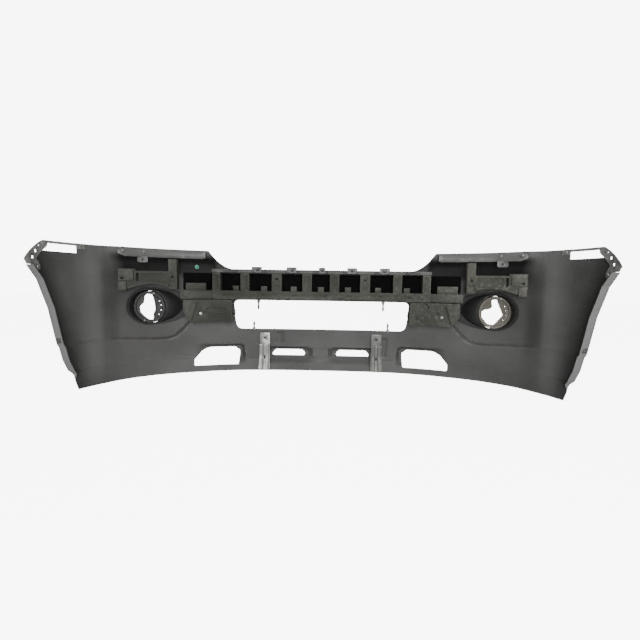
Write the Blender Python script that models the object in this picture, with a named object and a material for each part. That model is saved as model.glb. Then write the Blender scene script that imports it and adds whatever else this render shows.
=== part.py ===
"""Front bumper cover of a full-size off-road car, seen and finished from its inner side.

Metres. +X is the right-hand side as seen from behind the cover, +Y points to the road ahead,
+Z is up. The origin is under the middle of the cover, on the level that its lower edge rests on.
A place on the cover is given as x, the set-back from the foremost point, and the height z.
"""
import math

import bmesh
import bpy
from mathutils import Matrix, Vector

# ---------------------------------------------------------------- driving sizes
HALF_WIDTH = 1.0          # middle to the outside of a wing
DEPTH = 0.653             # foremost point of the nose to the tip of a wing
HEIGHT = 0.578            # lower edge to the top of a wing
CENTRE_TOP = 0.495        # top edge behind the grille
WALL = 0.003              # thickness of the moulded cover
GAP = 0.0003              # clearance between neighbours that touch
PLAN_POWER = 2.9          # how square the corners of the plan outline are
MIDDLE_Y = DEPTH / 2

RELIEF = 0.020            # the nose stands this far ahead of the chin and the wings
LIP_SLOPE = 0.35          # how far the lower lip runs back for each metre of height
CROWN = 0.030             # how far the top rolls back
FLANGE = 0.030            # width of the wheel-arch flange
COLUMNS = 36              # facets from the middle to a wing
ROWS = 20                 # facets from the lower edge to the top

CARRIER_BACK = 0.125      # set-back of the rear face of the absorber
CARRIER_SWEEP = 0.47      # how that face runs back towards the wings
CARRIER_BEND = 0.515      # where it starts to run back
POSTS = ((0.064, 0.044), (0.206, 0.046), (0.356, 0.040), (0.490, 0.036))   # middle and width

FOG_X, FOG_Z, FOG_BACK = 0.782, 0.315, 0.190
FOG_RADIUS, FOG_BORE = 0.0755, 0.061
RIM_OUT, RIM_IN, RIM_HIGH = 0.087, 0.180, 0.088   # reach of the housing round the lamp
STAY_X = 0.274            # middle to a steel stay
SIDES = {"left": -1, "right": 1}

for old in list(bpy.data.objects):
    bpy.data.objects.remove(old, do_unlink=True)


# ---------------------------------------------------------------- materials
def material(name, colour, roughness, metallic=0.0):
    made = bpy.data.materials.new(name)
    made.use_nodes = True
    shader = made.node_tree.nodes["Principled BSDF"]
    shader.inputs["Base Color"].default_value = (*colour, 1)
    shader.inputs["Roughness"].default_value = roughness
    shader.inputs["Metallic"].default_value = metallic
    return made


SKIN_GREY = material("skin_plastic", (0.060, 0.060, 0.058), 0.55)
BUCKET_GREY = material("bucket_plastic", (0.045, 0.045, 0.044), 0.6)
RING_GREY = material("ring_plastic", (0.16, 0.155, 0.14), 0.6)
CARRIER_GREY = material("carrier_plastic", (0.115, 0.12, 0.095), 0.7)
SILL_GREY = material("sill_plastic", (0.17, 0.17, 0.165), 0.55)
STEEL = material("stay_steel", (0.42, 0.42, 0.41), 0.4, 1.0)
SPRING_STEEL = material("spring_steel", (0.10, 0.10, 0.10), 0.4, 1.0)
SCREW_STEEL = material("screw_steel", (0.30, 0.30, 0.29), 0.4, 1.0)
FOAM_BLACK = material("foam_black", (0.010, 0.010, 0.010), 0.9)
RIVET_GREEN = material("rivet_green", (0.02, 0.24, 0.15), 0.45)


# ---------------------------------------------------------------- the cover's surface
def ramp(value, start, end):
    """0 before start, 1 past end, smooth between."""
    t = min(1.0, max(0.0, (value - start) / (end - start)))
    return t * t * (3 - 2 * t)


def place(x, back, z):
    """A point from its distance off the middle, its set-back from the nose and its height."""
    return Vector((x, MIDDLE_Y - back, z))


def plan(theta):
    """Plan outline as a squared-off ellipse: distance off the middle and set-back."""
    across = HALF_WIDTH * math.sin(theta) ** (2 / PLAN_POWER)
    return across, RELIEF + (DEPTH - RELIEF) * (1 - math.cos(theta))


def theta_of_back(back):
    return math.acos(min(1.0, max(0.0, (DEPTH - back) / (DEPTH - RELIEF))))


def theta_of(x):
    return math.asin(min(1.0, (abs(x) / HALF_WIDTH) ** (PLAN_POWER / 2)))


def outward(theta):
    """Unit normal of the plan outline, as x and set-back parts."""
    if theta < 1e-4:
        return 0.0, -1.0
    across = 2 / PLAN_POWER * math.sin(theta) ** (2 / PLAN_POWER - 1) * math.cos(theta)
    back = (DEPTH - RELIEF) * math.sin(theta)
    length = math.hypot(across, back)
    return back / length, -across / length


def top_edge(x):
    """Height of the top edge: low behind the grille, then a concave sweep up to the wings."""
    return CENTRE_TOP + (HEIGHT - CENTRE_TOP) * min(1.0, max(0.0, (abs(x) - 0.42) / 0.12)) ** 2


def step_line(x):
    """Height of the line below which the cover steps back."""
    return 0.185 - 0.020 * ramp(x, 0.96, 0.72) + 0.110 * ramp(x, 0.70, 0.57)


def relief(x, z):
    """How far the outer face stands off the plan outline, positive ahead of it."""
    x = abs(x)
    line = step_line(x)
    raised = ramp(z, line - 0.014, line + 0.014) * (1 - ramp(z, 0.515, 0.56))
    inner = 1 - ramp(x, 0.86, 0.915)
    crease = 0.050 + 0.0265 * ramp(x, 0.30, 0.85)
    lip = max(0.0, crease - z) * LIP_SLOPE * (1 - 0.75 * ramp(x, 0.55, 0.90))
    crown = CROWN * ramp(z, 0.44, HEIGHT) ** 1.5
    wing_step = 0.004 * (1 - ramp(z, line - 0.014, line + 0.014)) * (1 - inner)
    return RELIEF * raised * inner - wing_step - lip - crown * inner


def on_cover(theta, z, behind=0.0):
    """A point on the outer face, or that far behind it."""
    x, back = plan(theta)
    nx, nb = outward(theta)
    off = relief(x, z) - behind
    return x + nx * off, back + nb * off


def behind_cover(x, z, behind):
    """The point at x and z that lies the given distance behind the outer face."""
    side = -1 if x < 0 else 1
    aim = abs(x)
    for _ in range(4):
        reached, back = on_cover(theta_of(aim), z, behind)
        aim = max(0.0, aim + abs(x) - reached)
    return place(side * reached, back, z)


def facing(x):
    """Turn about Z that points +Y squarely out of the cover at x."""
    nx, nb = outward(theta_of(x))
    return math.atan2(math.copysign(nx, -x), -nb)


TIP_Z, TIP_START = 0.505, 0.566


def tip_back(z):
    """Set-back of the slanting end of a wing, between its tip and its top edge."""
    part = min(1.0, (z - TIP_Z) / (HEIGHT - TIP_Z))
    return TIP_START + (DEPTH - TIP_START) * (1 - part ** 1.2) ** (1 / 1.2)


def arch_back(z):
    """Set-back of the wheel-arch edge at a height, from the corner up to the tip of the wing."""
    if z > 0.505:
        return tip_back(z)
    heights = (0.0, 0.064, 0.083, 0.127, 0.207, 0.331, 0.4375, 0.505)
    backs = (0.452, 0.470, 0.488, 0.508, 0.528, 0.555, 0.597, 0.653)
    for low in range(len(heights) - 1):
        if z <= heights[low + 1]:
            part = (z - heights[low]) / (heights[low + 1] - heights[low])
            return backs[low] + part * (backs[low + 1] - backs[low])
    return backs[-1]


# ---------------------------------------------------------------- building helpers
def finish(name, mesh_data, look, smooth=False):
    mesh = bpy.data.meshes.new(name)
    mesh_data.to_mesh(mesh)
    mesh_data.free()
    mesh.materials.append(look)
    made = bpy.data.objects.new(name, mesh)
    bpy.context.scene.collection.objects.link(made)
    if smooth:
        mesh.shade_smooth()
        mesh.set_sharp_from_angle(angle=math.radians(35))
    return made


def sheet(name, columns, rows, point, thickness, look, offset=-1):
    """A moulded wall: a grid laid on point(u, v), then given its thickness."""
    grid = bmesh.new()
    bmesh.ops.create_grid(grid, x_segments=columns, y_segments=rows, size=0.5)
    for vert in grid.verts:
        vert.co = point(vert.co.x + 0.5, vert.co.y + 0.5)
    made = finish(name, grid, look, smooth=True)
    wall = made.modifiers.new("wall", "SOLIDIFY")
    wall.thickness = thickness
    wall.offset = offset
    wall.use_even_offset = True
    return made


def prism(outline, along, start, end):
    """An outline of two coordinates, extruded along Y or X between two places."""
    solid = bmesh.new()
    turn = {"Y": lambda a, b, c: Vector((a, c, b)), "X": lambda a, b, c: Vector((c, a, b))}[along]
    face = solid.faces.new([solid.verts.new(turn(a, b, start)) for a, b in outline])
    push = turn(0, 0, end - start)
    moved = bmesh.ops.extrude_face_region(solid, geom=[face])["geom"]
    bmesh.ops.translate(solid, vec=push, verts=[g for g in moved if isinstance(g, bmesh.types.BMVert)])
    bmesh.ops.recalc_face_normals(solid, faces=solid.faces)
    return solid


def block(low, high):
    """A box between two corners given as (x, set-back, z)."""
    return prism([(low[0], low[2]), (high[0], low[2]), (high[0], high[2]), (low[0], high[2])],
                 "Y", MIDDLE_Y - low[1], MIDDLE_Y - high[1])


def join(solids):
    """Puts several closed solids into one mesh, for a cutter of disjoint bodies."""
    both = bmesh.new()
    for solid in solids:
        mesh = bpy.data.meshes.new("scratch")
        solid.to_mesh(mesh)
        solid.free()
        both.from_mesh(mesh)
        bpy.data.meshes.remove(mesh)
    return both


def combine(target, solid, operation, name):
    """Cuts a solid out of an object, or adds it, with an exact Boolean."""
    tool = finish(name, solid, SKIN_GREY)
    tool.hide_render = True
    tool.display_type = "WIRE"
    step = target.modifiers.new(name, "BOOLEAN")
    step.operation = operation
    step.object = tool
    step.solver = "EXACT"
    return step


def turned(profile, sides=12):
    """A solid of revolution about Y from (radius, y) points that start and end on the axis."""
    solid = bmesh.new()
    verts = [solid.verts.new((radius, y, 0)) for radius, y in profile]
    edges = [solid.edges.new(pair) for pair in zip(verts, verts[1:])]
    bmesh.ops.spin(solid, geom=verts + edges, cent=(0, 0, 0), axis=(0, 1, 0), angle=math.tau,
                   steps=sides, use_merge=True)
    bmesh.ops.remove_doubles(solid, verts=solid.verts, dist=1e-6)
    bmesh.ops.recalc_face_normals(solid, faces=solid.faces)
    return solid


# ---------------------------------------------------------------- screws and clips
SCREW_HEAD, SCREW_SHANK, SCREW_LENGTH = 0.0075, 0.0026, 0.016


def screw(name, point, turn=0.0, length=SCREW_LENGTH, head=SCREW_HEAD):
    """A pan-head screw whose head rests on the given point and whose shank points ahead."""
    profile = [(0, -0.0042), (head * 0.75, -0.0042), (head, -0.0025),
               (head, -GAP), (SCREW_SHANK, -GAP), (SCREW_SHANK, length - 0.003), (0, length)]
    made = finish(name, turned(profile), SCREW_STEEL, smooth=True)
    made.location = point
    made.rotation_euler = (0, 0, turn)


def drill(point, turn=0.0, radius=SCREW_SHANK + 0.0006, length=0.040):
    """A cylinder to cut a hole with, centred on the point and turned about Z from Y."""
    hole = bmesh.new()
    bmesh.ops.create_cone(hole, cap_ends=True, segments=12, radius1=radius, radius2=radius,
                          depth=length)
    upright = Matrix.Rotation(math.pi / 2, 3, "X")
    bmesh.ops.rotate(hole, cent=(0, 0, 0), matrix=upright, verts=hole.verts)
    bmesh.ops.rotate(hole, cent=(0, 0, 0), matrix=Matrix.Rotation(turn, 3, "Z"), verts=hole.verts)
    bmesh.ops.translate(hole, vec=point, verts=hole.verts)
    return hole


def mirrored(outline):
    return [(-a, b) for a, b in outline]


def arc(centre_a, centre_b, radius, start, end, steps):
    """Points of a circle arc, angles in degrees."""
    angles = [math.radians(start + (end - start) * i / steps) for i in range(steps + 1)]
    return [(centre_a + radius * math.cos(t), centre_b + radius * math.sin(t)) for t in angles]


# ---------------------------------------------------------------- cover skin
OPEN_LOW, OPEN_HIGH = 0.205, 0.345
OPEN_HALF_TOP, OPEN_HALF_LOW = 0.432, 0.410
CORNER = 0.028
CENTRE_OPENING = ([(-OPEN_HALF_TOP, OPEN_HIGH)]
                  + arc(-OPEN_HALF_LOW + CORNER, OPEN_LOW + CORNER, CORNER, 180, 270, 4)
                  + arc(OPEN_HALF_LOW - CORNER, OPEN_LOW + CORNER, CORNER, 270, 360, 4)
                  + [(OPEN_HALF_TOP, OPEN_HIGH)])
OUTER_OPENING = [(0.405, 0.029), (0.600, 0.029), (0.604, 0.058), (0.572, 0.096), (0.548, 0.112),
                 (0.424, 0.112), (0.402, 0.094)]
INNER_OPENING = [(0.080, 0.070), (0.238, 0.070), (0.241, 0.082), (0.224, 0.100), (0.096, 0.100),
                 (0.078, 0.084)]
SLOT = [(0.430, 0.540), (0.575, 0.540), (0.598, 0.522), (0.618, 0.487), (0.700, 0.487),
        (0.700, 0.640), (0.430, 0.640)]


def fog_rim(angle, shrink=0.0):
    """Outline of the fog lamp housing: round outside, drawn out towards the middle."""
    reach = RIM_OUT if math.cos(angle) > 0 else RIM_IN
    x = FOG_X + (reach - shrink) * math.cos(angle)
    return x, FOG_Z + 0.004 + (RIM_HIGH - shrink) * math.sin(angle)


def cover_point(u, v):
    """Grid position on the outer face; the outermost columns turn in as the arch flange."""
    column = (2 * u - 1) * (COLUMNS + 1)
    side = -1 if column < 0 else 1
    column = abs(column)
    height = v * HEIGHT
    edge = theta_of_back(arch_back(height))
    theta = edge * min(column, COLUMNS) / COLUMNS
    z = v * top_edge(plan(theta)[0])
    x, back = on_cover(theta, z)
    if column > COLUMNS + 0.5:
        x -= FLANGE * ramp(z, 0.03, 0.09)
        back += 0.004
    return place(side * x, back, z)


def make_cover(holes):
    skin = sheet("cover_skin", 2 * (COLUMNS + 1), ROWS, cover_point, WALL, SKIN_GREY, offset=1)
    ahead, behind = MIDDLE_Y + 0.05, MIDDLE_Y - 0.34
    rim = [fog_rim(math.tau * i / 28, 0.004) for i in range(28)]
    cuts = [prism(CENTRE_OPENING, "Y", behind, ahead)]
    for outline in (OUTER_OPENING, INNER_OPENING, rim):
        cuts.append(prism(outline, "Y", behind, ahead))
        cuts.append(prism(mirrored(outline), "Y", behind, ahead))
    slot = [(MIDDLE_Y - back, z) for back, z in SLOT]
    cuts.append(prism(slot, "X", 0.90, 1.04))
    cuts.append(prism(slot, "X", -0.90, -1.04))
    combine(skin, join(cuts + holes), "DIFFERENCE", "cover_openings")
    return skin


# ---------------------------------------------------------------- fog lamp housings
def make_fog(side, name):
    """A cone-shaped housing set in the cover from behind, and the lamp seat ring in its floor."""
    sides = 28
    levels = 5

    def wall(u, v):
        angle = math.tau * u
        level = v * levels
        rim_x, rim_z = fog_rim(angle)
        low_x, low_z = fog_rim(angle, 0.009)
        if level < 0.5:
            start = behind_cover(rim_x, rim_z, WALL + 0.0065)
        else:
            start = behind_cover(low_x, low_z, WALL + 0.0065)
        part = max(0.0, (level - 1) / (levels - 1))
        end = place(FOG_X + (FOG_RADIUS - 0.001) * math.cos(angle), FOG_BACK - 0.030,
                    FOG_Z + (FOG_RADIUS - 0.001) * math.sin(angle))
        mixed = start.lerp(end, part)
        return Vector((side * mixed.x, mixed.y, mixed.z))

    shell = bmesh.new()
    rings = []
    for level in range(levels + 1):
        rings.append([shell.verts.new(wall(i / sides, level / levels)) for i in range(sides)])
    loops = []
    for ring in rings:
        loops.append([shell.edges.new((ring[i], ring[(i + 1) % sides])) for i in range(sides)])
    for near, far in zip(loops, loops[1:]):
        bmesh.ops.bridge_loops(shell, edges=near + far)
    bmesh.ops.recalc_face_normals(shell, faces=shell.faces)
    bucket = finish("fog_bucket_" + name, shell, BUCKET_GREY, smooth=True)
    thick = bucket.modifiers.new("wall", "SOLIDIFY")
    thick.thickness = 0.002
    thick.offset = 0
    thick.use_even_offset = True

    lip, bore = FOG_RADIUS - 0.0035, FOG_BORE
    ring = bmesh.new()
    rear, front = MIDDLE_Y - FOG_BACK, MIDDLE_Y - FOG_BACK + 0.034
    profile = [(lip, rear), (lip, front), (bore, front), (bore, rear)]
    verts = [ring.verts.new((radius, y, 0)) for radius, y in profile]
    edges = [ring.edges.new((verts[i], verts[(i + 1) % 4])) for i in range(4)]
    bmesh.ops.spin(ring, geom=verts + edges, cent=(0, 0, 0), axis=(0, 1, 0), angle=math.tau,
                   steps=sides, use_merge=True)
    bmesh.ops.remove_doubles(ring, verts=ring.verts, dist=1e-6)
    bmesh.ops.recalc_face_normals(ring, faces=ring.faces)
    seat = finish("fog_ring_" + name, ring, RING_GREY, smooth=True)
    seat.location = (side * FOG_X, 0, FOG_Z)
    holes = []
    for count, angle in enumerate((math.radians(70), math.radians(250))):
        reach = (lip + bore) / 2
        point = place(side * FOG_X + reach * math.cos(angle), FOG_BACK, FOG_Z + reach * math.sin(angle))
        screw("fog_screw_%s_%d" % (name, count + 1), point, head=0.005)
        hole = drill(point)
        bmesh.ops.translate(hole, vec=(-side * FOG_X, 0, -FOG_Z), verts=hole.verts)
        holes.append(hole)
    cut = combine(seat, join(holes), "DIFFERENCE", "ring_holes_" + name)
    cut.object.location = seat.location


# ---------------------------------------------------------------- absorber and its neighbours
def carrier_back(x):
    """Set-back of the rear faces of the moulded carriers."""
    return CARRIER_BACK + CARRIER_SWEEP * max(0.0, abs(x) - CARRIER_BEND)


def swept(outline, depth, behind=0.0):
    """An outline in x and z, extruded forward from the swept rear face of the carriers."""
    solid = prism(outline, "Y", 0, depth)
    for bend in (-CARRIER_BEND, CARRIER_BEND):
        everything = solid.verts[:] + solid.edges[:] + solid.faces[:]
        bmesh.ops.bisect_plane(solid, geom=everything, dist=1e-6, plane_co=(bend, 0, 0),
                               plane_no=(1, 0, 0))
    for vert in solid.verts:
        vert.co.y += MIDDLE_Y - carrier_back(vert.co.x) - behind
    return solid


def rectangle(x0, x1, z0, z1):
    return [(x0, z0), (x1, z0), (x1, z1), (x0, z1)]


def make_absorber_centre():
    """A comb of eight posts on a lower rail, with an arm at each end; a rail caps the posts."""
    low, sill, top = 0.353, 0.393, 0.477
    outline = [(-0.508, low), (0.508, low), (0.508, top), (-0.508, top)]
    body = finish("absorber_centre", swept(outline, 0.040), CARRIER_GREY)
    windows = []
    posts = [(-x, width) for x, width in reversed(POSTS)] + list(POSTS)
    for (left, left_width), (right, right_width) in zip(posts, posts[1:]):
        windows.append(block((left + left_width / 2, 0.20, sill), (right - right_width / 2, 0.0, 0.50)))
    combine(body, join(windows), "DIFFERENCE", "absorber_windows")
    arms = [swept(rectangle(side * 0.500, side * 0.6400, low + 0.001, sill - 0.001), 0.030, -0.004)
            for side in (-1, 1)]
    for arm in arms:
        bmesh.ops.recalc_face_normals(arm, faces=arm.faces)
    combine(body, join(arms), "UNION", "absorber_arms")

    finish("grille_rail", block((-0.512, 0.123, 0.478), (0.512, 0.092, 0.494)), SKIN_GREY)


def make_foam():
    """Black foam in three blocks between the carriers and the cover."""
    finish("foam_core", block((-0.500, 0.084, 0.360), (0.500, 0.060, 0.474)), FOAM_BLACK)
    for name, side in SIDES.items():
        solid = swept(rectangle(side * 0.520, side * 0.640, 0.396, 0.474), 0.018, -0.040)
        bmesh.ops.recalc_face_normals(solid, faces=solid.faces)
        finish("foam_end_" + name, solid, FOAM_BLACK)


def make_absorber_end(side, name):
    """The end carrier: a tall post, a plate with an arched lower edge, and an end block."""
    plate = [(0.645, 0.400), (0.700, 0.412), (0.740, 0.420), (0.790, 0.418), (0.830, 0.408),
             (0.850, 0.388), (0.868, 0.388), (0.868, 0.486), (0.806, 0.486), (0.806, 0.478),
             (0.690, 0.478), (0.645, 0.478)]
    flip = [(side * x, z) for x, z in plate]
    body = finish("absorber_end_" + name, swept(flip, 0.006), CARRIER_GREY)
    extras = [swept(rectangle(side * 0.6500, side * 0.6820, 0.3985, 0.532), 0.024, 0.003),
              swept(rectangle(side * 0.812, side * 0.864, 0.436, 0.483), 0.012, 0.008)]
    for count, extra in enumerate(extras):
        bmesh.ops.recalc_face_normals(extra, faces=extra.faces)
        combine(body, extra, "UNION", "absorber_end_%s_%d" % (name, count))


def make_flank(side, name, hole):
    """A closing panel between the central opening and the fog lamp housing."""
    outline = [(0.412, 0.244), (0.600, 0.244), (0.630, 0.290), (0.630, 0.350), (0.418, 0.350)]
    flip = [(side * x, z) for x, z in outline]
    body = finish("flank_panel_" + name, swept(flip, 0.010), CARRIER_GREY)
    combine(body, hole, "DIFFERENCE", "flank_hole_" + name)


# ---------------------------------------------------------------- sills and wing retainers
SILL_START, SILL_END = 0.537, 0.847


def make_sill(side, name):
    """A strip under the headlamp that leans away from the cover towards its lower edge."""
    def point(u, v):
        x = SILL_START + (SILL_END - SILL_START) * (u if side > 0 else 1 - u)
        z = 0.538 + 0.037 * v
        at = behind_cover(x, z, WALL + 0.007 + 0.022 * (1 - v))
        return Vector((side * at.x, at.y, at.z))

    sheet("headlamp_sill_" + name, 10, 1, point, 0.0024, SILL_GREY, offset=-1)
    for end, x in (("inner", 0.766), ("outer", 0.828)):
        seat = behind_cover(side * x, 0.560, WALL + 0.0235)
        screw("sill_rivet_%s_%s" % (end, name), seat, facing(side * x), 0.004, 0.0055)


def make_arch_nut(side, name):
    """A spring nut clipped on the wheel-arch flange, where the liner is screwed on."""
    low, high, gap = 0.197, 0.217, 0.0035
    outline = [(MIDDLE_Y - arch_back(z) - gap, z) for z in (low, high)]
    outline += [(y - 0.003, z) for y, z in reversed(outline)]
    x = on_cover(theta_of_back(arch_back(low)), low)[0] - FLANGE / 2
    finish("arch_nut_" + name, prism(outline, "X", side * (x - 0.008), side * (x + 0.008)),
           SPRING_STEEL)


def make_retainer(side, name, holes):
    """A thin bracket that bridges the cut-out in the wing top and ends in a wide plate."""
    heights = [HEIGHT - 0.0007 - (HEIGHT - 0.0007 - TIP_Z) * i / 6 for i in range(7)]
    outer = [(tip_back(z) - 0.001, z) for z in heights]
    outline = ([(0.404, 0.5775)] + outer + [(0.640, 0.4925), (0.610, 0.4925), (0.607, 0.4680),
                                            (0.583, 0.4680), (0.583, 0.4925), (0.583, 0.520),
                                            (0.566, 0.546), (0.548, 0.5675), (0.434, 0.5675),
                                            (0.434, 0.556), (0.404, 0.556)])
    solid = prism([(MIDDLE_Y - back, z) for back, z in outline], "X", 0.0, -0.0025)
    for back in (0.440, 0.475, 0.510, 0.545, 0.575, 0.605, 0.630):
        everything = solid.verts[:] + solid.edges[:] + solid.faces[:]
        bmesh.ops.bisect_plane(solid, geom=everything, dist=1e-6, plane_no=(0, 1, 0),
                               plane_co=(0, MIDDLE_Y - back, 0))
    for vert in solid.verts:
        back = min(MIDDLE_Y - vert.co.y, DEPTH - 1e-5)
        x, _ = on_cover(theta_of_back(back), vert.co.z, WALL + 0.0022)
        vert.co.x = side * (x + vert.co.x)
    bmesh.ops.triangulate(solid, faces=solid.faces)
    bmesh.ops.recalc_face_normals(solid, faces=solid.faces)
    body = finish("wing_retainer_" + name, solid, SILL_GREY)
    combine(body, join(holes), "DIFFERENCE", "retainer_holes_" + name)


# ---------------------------------------------------------------- steel stays and clips
STAY_WIDTH = 0.050


def stay_back(z):
    """Set-back of the front face of a stay, which leans with the chin of the cover."""
    return 0.066 - 0.020 * ramp(z, 0.0, 0.08)


def make_stay(x, name, hole):
    """A ribbed strip of sheet steel, screwed through the pad at its top."""
    half = STAY_WIDTH / 2
    section = [(-half, 0), (-half, -0.008), (-half + 0.0025, -0.008), (-half + 0.0025, -0.0025),
               (-0.0075, -0.0025), (-0.006, -0.0065), (0.006, -0.0065), (0.0075, -0.0025),
               (half - 0.0025, -0.0025), (half - 0.0025, -0.008), (half, -0.008), (half, 0)]
    levels = (0.006, 0.040, 0.080, 0.132)
    solid = bmesh.new()
    loops = []
    for z in levels:
        flare = 1.12 - 0.12 * ramp(z, 0.0, 0.12)
        ring = [solid.verts.new(place(x + a * flare, stay_back(z) - b, z)) for a, b in section]
        loops.append([solid.edges.new((ring[i], ring[(i + 1) % 12])) for i in range(12)])
        if z in (levels[0], levels[-1]):
            solid.faces.new(ring)
    for near, far in zip(loops, loops[1:]):
        bmesh.ops.bridge_loops(solid, edges=near + far)
    bmesh.ops.recalc_face_normals(solid, faces=solid.faces)
    body = finish("lower_stay_" + name, solid, STEEL)
    pad = block((x - half, 0.046, 0.128), (x + half, 0.0435, 0.188))
    combine(body, pad, "UNION", "stay_pad_" + name)
    combine(body, hole, "DIFFERENCE", "stay_hole_" + name)


def make_spring_clip(name, x, root, tip, back):
    """A folded spring-steel clip on an edge of the central opening, pointing into it."""
    way = 1 if tip > root else -1
    outline = [(x - 0.007, root), (x + 0.007, root), (x + 0.005, tip - way * 0.004),
               (x, tip), (x - 0.005, tip - way * 0.004)]
    solid = prism(outline, "Y", MIDDLE_Y - back, MIDDLE_Y - back + 0.004)
    finish(name, solid, SPRING_STEEL)


def make_top_nut(name, x, width):
    """A U-shaped speed nut pushed down over the top edge behind the grille."""
    seat = place(0, 0.123, CENTRE_TOP).y
    section = [(seat - 0.0028, 0.479), (seat - 0.0028, 0.506), (seat + 0.012, 0.506),
               (seat + 0.012, 0.4945), (seat - 0.0004, 0.4945), (seat - 0.0004, 0.479)]
    solid = prism(section, "X", x - width / 2, x + width / 2)
    finish(name, solid, SPRING_STEEL)


def make_push_pin(x, z):
    """A push-pin rivet in the left wing's upper panel: a slotted body and its centre pin."""
    seat = behind_cover(x, z, WALL + 0.0050)
    turn = facing(x)
    body = turned([(0, 0.0010), (0.0050, 0.0010), (0.0050, -0.0030), (0.0100, -0.0030),
                   (0.0100, -0.0004), (0.0060, -0.0002), (0.0052, 0.010), (0, 0.012)])
    holder = finish("push_pin_body", body, RIVET_GREEN, smooth=True)
    core = turned([(0, -0.0045), (0.0035, -0.0045), (0.0044, -0.0035), (0.0044, 0.0006), (0, 0.0006)])
    pin = finish("push_pin_core", core, RIVET_GREEN, smooth=True)
    for piece in (holder, pin):
        piece.location = seat
        piece.rotation_euler = (0, 0, turn)
    return drill(seat, turn, 0.0068)


# ---------------------------------------------------------------- assembly
skin_holes = []
for name, side in SIDES.items():
    make_fog(side, name)
    make_absorber_end(side, name)
    make_sill(side, name)
    make_arch_nut(side, name)

    flank_x = side * 0.560
    flank_seat = place(flank_x, carrier_back(flank_x), 0.285)
    sweep_turn = -side * math.atan(CARRIER_SWEEP)
    make_flank(side, name, drill(flank_seat, sweep_turn))
    screw("flank_screw_" + name, flank_seat, sweep_turn)

    retainer_holes = []
    for end, back, z in (("front", 0.419, 0.5665), ("rear", 0.595, 0.4790)):
        theta = theta_of_back(back)
        inner_x, inner_back = on_cover(theta, z, WALL + 0.0066)
        seat = place(side * inner_x, inner_back, z)
        turn = facing(side * plan(theta)[0])
        retainer_holes.append(drill(seat, turn))
        skin_holes.append(drill(seat, turn))
        screw("retainer_screw_%s_%s" % (end, name), seat, turn, 0.008)
    make_retainer(side, name, retainer_holes)

    stay_x = side * STAY_X
    stay_seat = place(stay_x, 0.046, 0.161)
    foot_x = stay_x + 0.017
    rivet_seat = place(foot_x, stay_back(0.024) + 0.0045, 0.024)
    rivet_hole = drill(rivet_seat)
    make_stay(stay_x, name, join([drill(stay_seat, radius=0.0045), rivet_hole.copy()]))
    rivet_hole.free()
    screw("stay_rivet_" + name, rivet_seat, length=0.007, head=0.0045)

    make_spring_clip("spring_clip_upper_" + name, side * 0.293, 0.352, 0.302, 0.112)
    make_spring_clip("spring_clip_lower_" + name, side * 0.326, 0.200, 0.248, 0.052)

make_absorber_centre()
make_foam()
for count, nut_x in enumerate((-0.137, 0.005, 0.145, 0.296, -0.300)):
    make_top_nut("top_nut_%d" % (count + 1), nut_x, 0.030 if count == 1 else 0.046)
skin_holes.append(make_push_pin(-0.592, 0.502))
make_cover(skin_holes)
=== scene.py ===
"""Looks of the front bumper cover: the fine moulded surfaces, carriers, lamp housings and fixings."""
import math

import bmesh
import bpy
from mathutils import Matrix, Vector


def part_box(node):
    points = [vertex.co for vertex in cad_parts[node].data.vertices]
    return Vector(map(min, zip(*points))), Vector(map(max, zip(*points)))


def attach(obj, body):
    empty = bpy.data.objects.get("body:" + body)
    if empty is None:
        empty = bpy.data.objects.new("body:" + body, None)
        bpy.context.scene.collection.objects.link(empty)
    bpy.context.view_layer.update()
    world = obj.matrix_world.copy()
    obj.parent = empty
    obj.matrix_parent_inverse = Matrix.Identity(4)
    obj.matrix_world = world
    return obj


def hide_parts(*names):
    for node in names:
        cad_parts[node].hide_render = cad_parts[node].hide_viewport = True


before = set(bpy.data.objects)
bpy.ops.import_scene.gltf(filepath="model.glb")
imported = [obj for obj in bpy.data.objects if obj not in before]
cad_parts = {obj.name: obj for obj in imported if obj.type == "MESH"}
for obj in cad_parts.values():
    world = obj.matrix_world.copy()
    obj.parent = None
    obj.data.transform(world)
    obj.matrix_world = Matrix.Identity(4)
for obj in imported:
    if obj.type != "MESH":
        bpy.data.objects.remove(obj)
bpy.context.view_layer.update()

# ------------------------------------------------------------------ floor, light and camera
# A pale studio: a matt floor under the cover, a big soft light overhead and a second one behind
# the viewer, who stands behind the cover, a little above it. Floor and surroundings are given
# extra brightness that only the camera sees, so they look white without lighting the cover.
LENS, SENSOR = 22.5, 36.0
FLOOR_GLOW, SURROUNDINGS, AMBIENT = 7.4, 8.0, 0.20
VIEW_FROM = (0.053, -1.665, 0.446)
VIEW_TILT, VIEW_YAW, VIEW_ROLL = math.radians(5.62), math.radians(-1.745), math.radians(0.85)

floor_mesh = bmesh.new()
bmesh.ops.create_circle(floor_mesh, cap_ends=True, segments=96, radius=14.0)
floor_data = bpy.data.meshes.new("studio_floor")
floor_mesh.to_mesh(floor_data)
floor_mesh.free()
floor = bpy.data.objects.new("studio_floor", floor_data)
bpy.context.scene.collection.objects.link(floor)
floor_paint = bpy.data.materials.new("floor_paint")
floor_paint.use_nodes = True
floor_shader = floor_paint.node_tree.nodes["Principled BSDF"]
floor_shader.inputs["Base Color"].default_value = (0.86, 0.86, 0.86, 1)
floor_shader.inputs["Roughness"].default_value = 0.8
floor_glow = floor_paint.node_tree.nodes.new("ShaderNodeEmission")
floor_glow.inputs["Strength"].default_value = FLOOR_GLOW
floor_seen = floor_paint.node_tree.nodes.new("ShaderNodeLightPath")
floor_gate = floor_paint.node_tree.nodes.new("ShaderNodeMixShader")
floor_sum = floor_paint.node_tree.nodes.new("ShaderNodeAddShader")
floor_links = floor_paint.node_tree.links
floor_links.new(floor_seen.outputs["Is Camera Ray"], floor_gate.inputs[0])
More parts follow.
